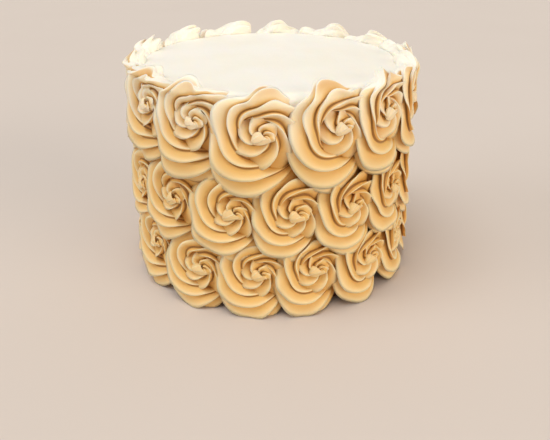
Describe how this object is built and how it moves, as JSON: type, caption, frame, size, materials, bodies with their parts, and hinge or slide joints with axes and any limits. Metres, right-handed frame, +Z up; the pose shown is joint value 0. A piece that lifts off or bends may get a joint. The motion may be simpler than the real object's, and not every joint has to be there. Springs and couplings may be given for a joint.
{
  "type": "rosette layer cake",
  "caption": "Tall round cake with a flat iced top and a side covered with three rows of piped spiral rosettes.",
  "frame": {"origin": "middle of the cake's flat underside", "axes": "+Z up through the middle of the round cake; -Y is the front of the picture and +X its right"},
  "size_m": [0.2395, 0.2392, 0.1811],
  "materials": {
    "chocolate_sponge": "matte open crumb",
    "top_buttercream": "smooth satin buttercream",
    "rosette_buttercream": "soft satin buttercream"
  },
  "bodies": {
    "root": {"rosette_low_01": "rosette_buttercream", "rosette_low_02": "rosette_buttercream", "rosette_low_03": "rosette_buttercream", "rosette_low_04": "rosette_buttercream", "rosette_low_05": "rosette_buttercream", "rosette_low_06": "rosette_buttercream", "rosette_low_07": "rosette_buttercream", "rosette_low_08": "rosette_buttercream", "rosette_low_09": "rosette_buttercream", "rosette_low_10": "rosette_buttercream", "rosette_low_11": "rosette_buttercream", "rosette_low_12": "rosette_buttercream", "rosette_low_13": "rosette_buttercream", "rosette_low_14": "rosette_buttercream", "rosette_low_15": "rosette_buttercream", "rosette_mid_01": "rosette_buttercream", "rosette_mid_02": "rosette_buttercream", "rosette_mid_03": "rosette_buttercream", "rosette_mid_04": "rosette_buttercream", "rosette_mid_05": "rosette_buttercream", "rosette_mid_06": "rosette_buttercream", "rosette_mid_07": "rosette_buttercream", "rosette_mid_08": "rosette_buttercream", "rosette_mid_09": "rosette_buttercream", "rosette_mid_10": "rosette_buttercream", "rosette_mid_11": "rosette_buttercream", "rosette_mid_12": "rosette_buttercream", "rosette_mid_13": "rosette_buttercream", "rosette_mid_14": "rosette_buttercream", "rosette_mid_15": "rosette_buttercream", "rosette_top_01": "rosette_buttercream", "rosette_top_02": "rosette_buttercream", "rosette_top_03": "rosette_buttercream", "rosette_top_04": "rosette_buttercream", "rosette_top_05": "rosette_buttercream", "rosette_top_06": "rosette_buttercream", "rosette_top_07": "rosette_buttercream", "rosette_top_08": "rosette_buttercream", "rosette_top_09": "rosette_buttercream", "rosette_top_10": "rosette_buttercream", "rosette_top_11": "rosette_buttercream", "rosette_top_12": "rosette_buttercream", "rosette_top_13": "rosette_buttercream", "rosette_top_14": "rosette_buttercream", "sponge": "chocolate_sponge", "top_icing": "top_buttercream"}
  },
  "joints": []
}
